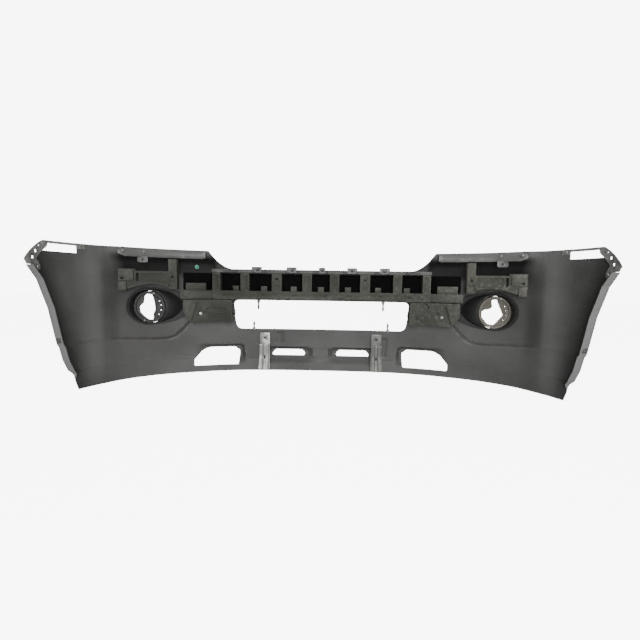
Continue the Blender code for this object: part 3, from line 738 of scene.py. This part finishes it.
# ------------------------------------------------------------------ flank panels
# A moulded panel closes the space between the middle opening and each lamp housing. The left one
# carries a plain oval bead, the right one a slanting rib groove, a slot and a pin hole.
for name, side in SIDES.items():
    outline = rounded([(side * x, z) for x, z in
                       ((0.412, 0.244), (0.600, 0.244), (0.630, 0.290), (0.630, 0.350), (0.418, 0.350))],
                      0.006, 3)
    panel = model("flank_moulding_" + name, swept(outline, 0.010))
    seat_x = side * 0.560
    turn = -side * math.atan(CARRIER_SWEEP)
    boolean(panel, bore(place(seat_x, carrier_back(seat_x), 0.285), 0.0032, 0.04, turn, 24))
    boolean(panel, swept([(side * x, z) for x, z in
                          ((0.596, 0.243), (0.601, 0.243), (0.575, 0.338), (0.569, 0.338))], 0.004, 0.001))
    if side < 0:
        for half_wide, half_high, thick, behind, cutter in (
                (0.056, 0.0185, 0.0045, 0.0016, "UNION"), (0.0505, 0.0135, 0.0025, 0.0026, "DIFFERENCE")):
            oval = [(-0.489 + half_wide * math.cos(math.tau * i / 40),
                     0.304 + half_high * math.sin(math.tau * i / 40)) for i in range(40)]
            boolean(panel, swept(oval, thick, behind), cutter)
    else:
        boolean(panel, swept([(0.487, 0.346), (0.492, 0.346), (0.508, 0.326), (0.503, 0.326)], 0.02, 0.004))
        boolean(panel, bore(place(0.541, carrier_back(0.541), 0.300), 0.0028, 0.012, turn, 20))
        boolean(panel, bore(place(0.452, carrier_back(0.452), 0.272), 0.0030, 0.006, 0.0, 20))
    bevel(panel, 0.0012, 2)
    show(panel, carrier_look, "carrier_plastic", "flank_panel_" + name)

# ------------------------------------------------------------------ fog lamp housings
# A dark moulded cone is fixed in the cover from behind, drawn out towards the middle of the car.
# A ring with the lamp's bracket sits in its floor, held by two screws.
FOOT_OUT, FOOT_IN, FOOT_HIGH = 0.066, 0.125, 0.0785
SEAT_DEPTH = 0.034


def turned(profile, point, turn=0.0, steps=32):
    """A solid of revolution from (radius, y) points on its axis, placed and turned about Z."""
    solid = bmesh.new()
    verts = [solid.verts.new((radius, y, 0)) for radius, y in profile]
    edges = [solid.edges.new(pair) for pair in zip(verts, verts[1:])]
    bmesh.ops.spin(solid, geom=verts + edges, cent=(0, 0, 0), axis=(0, 1, 0), angle=math.tau,
                   steps=steps, use_merge=True)
    bmesh.ops.remove_doubles(solid, verts=solid.verts, dist=1e-6)
    bmesh.ops.recalc_face_normals(solid, faces=solid.faces)
    bmesh.ops.rotate(solid, verts=solid.verts, matrix=Matrix.Rotation(turn, 3, "Z"))
    bmesh.ops.translate(solid, verts=solid.verts, vec=point)
    return solid


def housing_foot(angle):
    """Where the cone rises from its flange."""
    reach = FOOT_OUT if math.cos(angle) > 0 else FOOT_IN
    return behind_cover(FOG_X + reach * math.cos(angle), FOG_Z + 0.004 + FOOT_HIGH * math.sin(angle),
                        WALL + 0.004)


def seat_edge(angle, back):
    return place(FOG_X + (FOG_RADIUS - 0.001) * math.cos(angle), back,
                 FOG_Z + (FOG_RADIUS - 0.001) * math.sin(angle))


def housing_point(angle, v):
    """The housing from its flange (v 0) over its foot (v 0.2) and up the cone to the seat (v 1)."""
    foot = housing_foot(angle)
    if v < 0.2:
        return behind_cover(*fog_rim(angle, 0.0), WALL + 0.004).lerp(foot, v / 0.2)
    if v > 0.9:
        return seat_edge(angle, FOG_BACK - 0.012 - (v - 0.9) / 0.1 * 0.020)
    part = (v - 0.2) / 0.7
    at = foot.lerp(seat_edge(angle, FOG_BACK - 0.012), part)
    return at + Vector((0, -0.010 * math.sin(math.pi * part) * ramp(part, 0.0, 0.4), 0))


bucket_look = plastic("dark_housing", (0.015, 0.015, 0.015), DUST, dust=0.04, wear=0.2, roughness=0.5,
                      gloss=0.35)
left_seat_look = plastic("lamp_seat_grey", (0.034, 0.034, 0.032), DUST, dust=0.22, wear=0.3)
right_seat_look = plastic("lamp_seat_dusty", (0.095, 0.088, 0.074), (0.36, 0.32, 0.25), dust=0.8, wear=0.3)
LEFT_BRACKET = ((-0.014, 0.059), (0.012, 0.057), (0.022, 0.019), (0.025, -0.011), (0.015, -0.033),
                (0.017, -0.056), (0.000, -0.060), (-0.022, -0.047), (-0.044, -0.025), (-0.047, 0.002),
                (-0.027, 0.019), (-0.024, 0.048))
RIGHT_BRACKET = ((-0.015, 0.056), (0.007, 0.059), (0.015, 0.037), (0.030, 0.004), (0.037, -0.011),
                 (0.020, -0.031), (-0.002, -0.056), (-0.031, -0.050), (-0.055, -0.022), (-0.057, 0.004),
                 (-0.042, 0.012), (-0.020, 0.015), (-0.010, 0.028), (-0.015, 0.044))
for name, side in SIDES.items():
    cone = bmesh.new()
    bmesh.ops.create_grid(cone, x_segments=96, y_segments=20, size=0.5)
    for vert in cone.verts:
        at = housing_point(math.tau * (vert.co.x + 0.5), vert.co.y + 0.5)
        vert.co = (side * at.x, at.y, at.z)
    bmesh.ops.remove_doubles(cone, verts=cone.verts, dist=1e-6)
    bmesh.ops.recalc_face_normals(cone, faces=cone.faces)
    bucket = model("lamp_housing_" + name, cone, 60)
    wall = bucket.modifiers.new("wall", "SOLIDIFY")
    wall.thickness = 0.002
    wall.offset = 0
    settle(bucket)
    show(bucket, bucket_look, "bucket_plastic", "fog_bucket_" + name)

    lip = FOG_RADIUS - 0.0035
    rear, ahead = -FOG_BACK, SEAT_DEPTH - FOG_BACK
    profile = [(lip, rear + 0.001), (lip, ahead), (FOG_BORE + 0.003, ahead), (FOG_BORE, ahead - 0.003),
               (FOG_BORE, rear + 0.004), (FOG_BORE + 0.0015, rear), (lip - 0.001, rear),
               (lip, rear + 0.001)]
    centre = Vector((side * FOG_X, MIDDLE_Y, FOG_Z))
    seat = model("lamp_seat_" + name, turned(profile, centre, steps=72))
    bracket = [(side * FOG_X + a, FOG_Z + b) for a, b in
               rounded(list(LEFT_BRACKET if side < 0 else RIGHT_BRACKET), 0.006, 4)]
    disc = model("bracket", bore(centre + Vector((0, -FOG_BACK + 0.010, 0)), FOG_BORE + 0.002, 0.003,
                                 sides=72))
    boolean(disc, prism(bracket, "Y", MIDDLE_Y - 0.30, MIDDLE_Y))
    boolean(seat, taken(disc), "UNION")
    holes = []
    for angles, reach, depth, radius, length, sides in (
            ((70, 250), (lip + FOG_BORE) / 2, -FOG_BACK, 0.0032, 0.04, 20),
            ((-40, -15, 10, 32), 0.053, -FOG_BACK + 0.010, 0.0022, 0.02, 16)):
        for angle in map(math.radians, angles):
            at = Vector((reach * math.cos(angle), depth, reach * math.sin(angle)))
            holes.append(bore(centre + at, radius, length, sides=sides))
    boolean(seat, join(holes))
    bevel(seat, 0.0007, 2)
    show(seat, left_seat_look if side < 0 else right_seat_look, "ring_plastic", "fog_ring_" + name)

# ------------------------------------------------------------------ headlamp sills
# A smooth grey strip under each headlamp, leaning away from the cover, with a rounded outer end,
# a hanging locator tab and a small gusset at the inner end. Two rivets hold it.
SILL_START, SILL_END = 0.537, 0.847
SILL_RIVETS = (0.766, 0.828)
sill_look = plastic("sill_moulding", (0.092, 0.092, 0.090), DUST, dust=0.10, wear=0.3, roughness=0.45)


def sill_point(x, v):
    """A place on the sill: v is 0 at its lower edge, which stands off the cover, and 1 on top."""
    return behind_cover(x, 0.538 + 0.037 * v, WALL + 0.007 + 0.022 * (1 - v))


for name, side in SIDES.items():
    strip = bmesh.new()
    bmesh.ops.create_grid(strip, x_segments=60, y_segments=4, size=0.5)
    for vert in strip.verts:
        u, v = vert.co.x + 0.5, vert.co.y + 0.5
        end = SILL_END - 0.020 * (1 - math.sqrt(max(0.0, 1 - (2 * v - 1) ** 2)))
        start = SILL_START + 0.012 * (1 - v)
        vert.co = sill_point(side * (start + (end - start) * u), v)
    if side < 0:
        bmesh.ops.reverse_faces(strip, faces=strip.faces)
    sill = model("sill_strip_" + name, strip)
    wall = sill.modifiers.new("wall", "SOLIDIFY")
    wall.thickness = 0.0024
    wall.offset = -1
    settle(sill)
    hang = sill_point(side * 0.777, 0.0)
    tab = model("tab", prism(rounded([(hang.x - 0.023, 0.514), (hang.x + 0.023, 0.514),
                                      (hang.x + 0.023, 0.541), (hang.x - 0.023, 0.541)], 0.008),
                             "Y", hang.y + 0.0005, hang.y + 0.004))
    boolean(tab, bore(hang + Vector((0, 0, -0.0115)), 0.004, 0.02))
    boolean(sill, taken(tab), "UNION")
    inner = sill_point(side * (SILL_START + 0.006), 0.4)
    boolean(sill, prism([(inner.x - side * 0.004, 0.540), (inner.x + side * 0.020, 0.556),
                         (inner.x - side * 0.004, 0.572)], "Y", inner.y - 0.004, inner.y + 0.010), "UNION")
    for x in SILL_RIVETS:
        seat = behind_cover(side * x, 0.560, WALL + 0.0205)
        boolean(sill, bore(seat, 0.0085, 0.005, facing(side * x)), "UNION")
        boolean(sill, bore(seat, 0.0030, 0.030, facing(side * x), 20))
    bevel(sill, 0.0008, 2)
    show(sill, sill_look, "sill_plastic", "headlamp_sill_" + name)

# ------------------------------------------------------------------ wing retainers
# A thin pressed bracket bridges the hand hole in the top of each wing and ends in a tab below it.
# It carries the wing's screws, a square hole for a cage nut and a round one.
retainer_look = plastic("retainer_moulding", (0.085, 0.085, 0.080), (0.50, 0.48, 0.43), dust=0.45,
                        wear=0.8, roughness=0.5)
for name, side in SIDES.items():
    heights = [HEIGHT - 0.0007 - (HEIGHT - 0.0007 - TIP_Z) * i / 14 for i in range(15)]
    outline = [(0.404, 0.5775)] + [(tip_back(z) - 0.001, z) for z in heights]
    outline += [(0.640, 0.4885), (0.610, 0.4885), (0.607, 0.4680), (0.583, 0.4680), (0.583, 0.4885)]
    outline += [(tip_back(z) - 0.052, z) for z in (0.510, 0.522, 0.534, 0.546, 0.556)]
    outline += [(0.548, 0.5675), (0.434, 0.5675), (0.434, 0.556), (0.404, 0.556)]
    plate = prism([(MIDDLE_Y - back, z) for back, z in outline], "X", 0.0, -0.0025)
    bracket = model("wing_bracket_" + name, plate)
    holes = [prism(rectangle(MIDDLE_Y - back - 0.0045, MIDDLE_Y - back + 0.0045, z - 0.0045, z + 0.0045),
                   "X", -0.02, 0.02) for back, z in ((0.614, 0.514), (0.600, 0.536))]
    for back, z, radius in ((0.419, 0.5665, 0.0032), (0.595, 0.479, 0.0032), (0.585, 0.556, 0.0022)):
        outline = arc(MIDDLE_Y - back, z, radius, 0, 342, 19)
        holes.append(prism(outline, "X", -0.02, 0.02))
    boolean(bracket, join(holes))
    fine = bmesh.new()
    fine.from_mesh(bracket.data)
    for step in range(1, 25):
        bmesh.ops.bisect_plane(fine, geom=fine.verts[:] + fine.edges[:] + fine.faces[:], dist=1e-6,
                               plane_co=(0, MIDDLE_Y - 0.404 - 0.01 * step, 0), plane_no=(0, 1, 0))
    bmesh.ops.triangulate(fine, faces=fine.faces)
    for vert in fine.verts:
        back = min(MIDDLE_Y - vert.co.y, DEPTH - 1e-5)
        x, _ = on_cover(theta_of_back(back), vert.co.z, WALL + 0.0012)
        vert.co.x = side * (x + vert.co.x)
    if side < 0:
        bmesh.ops.reverse_faces(fine, faces=fine.faces)
    fine.to_mesh(bracket.data)
    fine.free()
    bevel(bracket, 0.0005, 1, 60)
    show(bracket, retainer_look, "sill_plastic", "wing_retainer_" + name)

# ------------------------------------------------------------------ lower stays
# Two strips of zinc-coated sheet steel with a pressed rib and folded edges run from the lower lip
# to a pad with a hole, where the crash-bar bracket is screwed on. A rivet holds each foot.
STAY_X, STAY_WIDTH = 0.274, 0.050
left_stay_look = plastic("zinc_sheet_clean", (0.24, 0.24, 0.235), DUST, dust=0.15, wear=0.3,
                         roughness=0.40, metallic=0.55, grain=0.05)
right_stay_look = plastic("zinc_sheet_dull", (0.095, 0.095, 0.088), DUST, dust=0.5, wear=0.6,
                          roughness=0.5, metallic=0.5, grain=0.08)


def stay_back(z):
    """Set-back of the front face of a stay, which leans with the chin of the cover."""
    return 0.066 - 0.020 * ramp(z, 0.0, 0.08)


for name, side in SIDES.items():
    x, half = side * STAY_X, STAY_WIDTH / 2
    rib = [(-0.0075, 0.0025), (-0.006, 0.0065), (0.006, 0.0065), (0.0075, 0.0025)]
    section = [(-half, 0), (-half, 0.008), (-half + 0.0025, 0.008), (-half + 0.0025, 0.0025)] + rib + [
        (half - 0.0025, 0.0025), (half - 0.0025, 0.008), (half, 0.008), (half, 0)]
    strip = bmesh.new()
    start = [strip.verts.new(place(x + a * 1.12, stay_back(0.006) + b, 0.006)) for a, b in section]
    ends = [strip.faces.new(start)]
    for step in range(1, 15):
        z = 0.006 + 0.009 * step
        flare = 1.12 - 0.12 * ramp(z, 0.0, 0.12)
        ring = [strip.verts.new(place(x + a * flare, stay_back(z) + b, z)) for a, b in section]
        top = strip.faces.new(ring)
        before = ends[-1]
        bmesh.ops.bridge_loops(strip, edges=list(before.edges) + list(top.edges))
        if step > 1:
            strip.faces.remove(before)
        ends.append(top)
    bmesh.ops.recalc_face_normals(strip, faces=strip.faces)
    stay = model("stay_strip_" + name, strip)
    boolean(stay, block(x - half, x + half, 0.046, 0.0435, 0.128, 0.188), "UNION")
    foot = place(x + 0.017, stay_back(0.024), 0.024)
    boolean(stay, join([bore(place(x, 0.046, 0.161), 0.0045), bore(foot, 0.0032, 0.03),
                        block(x - 0.004, x + 0.004, 0.09, 0.03, 0.060, 0.075)]))
    bevel(stay, 0.0008, 2)
    show(stay, left_stay_look if side < 0 else right_stay_look, "stay_steel", "lower_stay_" + name)

# ------------------------------------------------------------------ spring clips and speed nuts
# Folded spring steel: four clips stand in the middle opening to hold the grille insert, five
# U-shaped nuts sit on the rail behind the grille, and one nut on each wheel-arch flange.
clip_look = plastic("spring_clip", (0.035, 0.034, 0.032), (0.35, 0.34, 0.30), dust=0.3, wear=1.0,
                    roughness=0.4, metallic=0.4, grain=0.05)
nut_look = plastic("speed_nut", (0.030, 0.030, 0.028), (0.22, 0.21, 0.19), dust=0.25, wear=0.8,
                   roughness=0.42, metallic=0.4, grain=0.05)
for name, side in SIDES.items():
    for level, middle, root, tip, back in (("upper", 0.293, 0.352, 0.302, 0.112),
                                           ("lower", 0.326, 0.200, 0.248, 0.052)):
        x, way, rear = side * middle, 1 if tip > root else -1, MIDDLE_Y - back
        leaf = prism([(x - 0.007, root), (x + 0.007, root), (x + 0.007, root + way * 0.012),
                      (x + 0.0035, root + way * 0.016), (x + 0.0055, tip - way * 0.012), (x, tip),
                      (x - 0.0055, tip - way * 0.012), (x - 0.0035, root + way * 0.016),
                      (x - 0.007, root + way * 0.012)], "Y", rear, rear + 0.0018)
        clip = model("clip_%s_%s" % (level, name), leaf)
        fold = prism([(rear, root), (rear, root + way * 0.004), (rear + 0.0080, root + way * 0.004),
                      (rear + 0.0080, root)], "X", x - 0.007, x + 0.007)
        boolean(clip, fold, "UNION")
        barb = prism([(rear + 0.001, tip - way * 0.006), (rear + 0.006, tip - way * 0.022),
                      (rear + 0.001, tip - way * 0.026)], "X", x - 0.0035, x + 0.0035)
        boolean(clip, barb, "UNION")
        bevel(clip, 0.0004, 1)
        show(clip, clip_look, "spring_steel", "spring_clip_%s_%s" % (level, name))

    low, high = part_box("arch_nut_" + name)
    middle = (Vector(low) + Vector(high)) / 2
    nut = model("arch_nut_plate_" + name, block(low[0], high[0], MIDDLE_Y - middle.y + 0.0012,
                                                MIDDLE_Y - middle.y - 0.0012, low[2], high[2]))
    boolean(nut, bore(middle, 0.0035, 0.02, 0.0, 20))
    bevel(nut, 0.0005, 2)
    show(nut, clip_look, "spring_steel", "arch_nut_" + name)

for count in range(1, 6):
    low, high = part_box("top_nut_%d" % count)
    middle = (low[0] + high[0]) / 2
    seat = low[1] + 0.0028
    section = [(seat - 0.0028, 0.479), (seat - 0.0020, 0.506), (seat + 0.012, 0.506),
               (seat + 0.012, 0.4945), (seat - 0.0004, 0.4945), (seat - 0.0004, 0.479)]
    nut = model("rail_nut_%d" % count, prism(section, "X", low[0], high[0]))
    back = MIDDLE_Y - seat
    ways = [block(middle - 0.011, middle + 0.011, back + 0.01, back - 0.003, 0.502, 0.51),
            bore(Vector((middle, seat, 0.489)), 0.0035, 0.02, 0.0, 20)]
    boolean(nut, join(ways))
    bevel(nut, 0.0006, 2)
    show(nut, nut_look, "spring_steel", "top_nut_%d" % count)

# ------------------------------------------------------------------ push-pin, screws and rivets
# The green push-pin sits in the cover, below the left sill's inner end. Pan-head screws with a
# cross recess and domed rivets, all zinc-plated, hold panels, rings, brackets, sills and stays.
screw_look = plastic("zinc_screw", (0.24, 0.24, 0.22), DUST, dust=0.3, wear=0.5, roughness=0.4,
                     metallic=0.7, grain=0.03)
green_look = plastic("green_push_pin", (0.012, 0.205, 0.125), (0.10, 0.30, 0.22), dust=0.15, wear=0.2,
                     roughness=0.38, grain=0.05)


def axis_point(node, turn, ahead, behind):
    """The seat of a turned fixing, from its box and from how far it reaches either way."""
    low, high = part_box(node)
    axis = Vector((-math.sin(turn), math.cos(turn), 0))
    return (Vector(low) + Vector(high)) / 2 - axis * (ahead - behind) / 2


def fixing(node, turn, head, length, domed=False):
    """A screw with a cross recess, or a domed rivet, on the place the frame gives it."""
    seat = axis_point(node, turn, length, 0.0042)
    profile = [(0, -0.0042)]
    if domed:
        profile += [(head * math.sin(math.radians(15 * i)), -0.0003 - 0.0039 * math.cos(math.radians(15 * i)))
                    for i in range(1, 7)]
    else:
        profile += [(head * 0.62, -0.0042), (head * 0.88, -0.0037), (head, -0.0024), (head, -0.0003)]
    profile += [(0.0026, -0.0003), (0.0026, length - 0.003), (0.0006, length - 0.0001), (0, length)]
    made = model(node + "_fastener", turned(profile, seat, turn, 28))
    if not domed:
        for wide, high in ((0.0011, head * 0.45), (head * 0.45, 0.0011)):
            arm = bmesh.new()
            bmesh.ops.create_cube(arm, size=1.0)
            bmesh.ops.scale(arm, verts=arm.verts, vec=(2 * wide, 0.004, 2 * high))
            bmesh.ops.translate(arm, verts=arm.verts, vec=(0, -0.0042, 0))
            bmesh.ops.rotate(arm, verts=arm.verts, matrix=Matrix.Rotation(turn, 3, "Z"))
            bmesh.ops.translate(arm, verts=arm.verts, vec=seat)
            boolean(made, arm)
    show(made, screw_look, "screw_steel", node)


for name, side in SIDES.items():
    sweep_turn = -side * math.atan(CARRIER_SWEEP)
    fixing("flank_screw_" + name, sweep_turn, 0.0075, 0.016)
    for end, back in (("front", 0.419), ("rear", 0.595)):
        turn = facing(side * plan(theta_of_back(back))[0])
        fixing("retainer_screw_%s_%s" % (end, name), turn, 0.0075, 0.008)
    for count in (1, 2):
        fixing("fog_screw_%s_%d" % (name, count), 0.0, 0.005, 0.016)
    fixing("stay_rivet_" + name, 0.0, 0.0045, 0.007, True)
    for end, x in zip(("inner", "outer"), SILL_RIVETS):
        fixing("sill_rivet_%s_%s" % (end, name), facing(side * x), 0.0055, 0.004, True)

PIN_X = -0.592
pin_turn = facing(PIN_X)
pin_seat = behind_cover(PIN_X, 0.502, WALL + 0.0050)
collar = [(0, 0.0010), (0.0050, 0.0010), (0.0050, -0.0026), (0.0056, -0.0031), (0.0092, -0.0027),
          (0.0100, -0.0018), (0.0098, -0.0006), (0.0060, -0.0002), (0.0056, 0.004), (0.0052, 0.010),
          (0, 0.012)]
button = [(0, -0.0049), (0.0026, -0.0048), (0.0040, -0.0043), (0.0044, -0.0035), (0.0044, 0.0006),
          (0, 0.0006)]
for piece, profile, node in (("push_pin_collar", collar, "push_pin_body"),
                             ("push_pin_button", button, "push_pin_core")):
    made = model(piece, turned(profile, pin_seat, pin_turn, 40))
    show(made, green_look, "rivet_green", node)
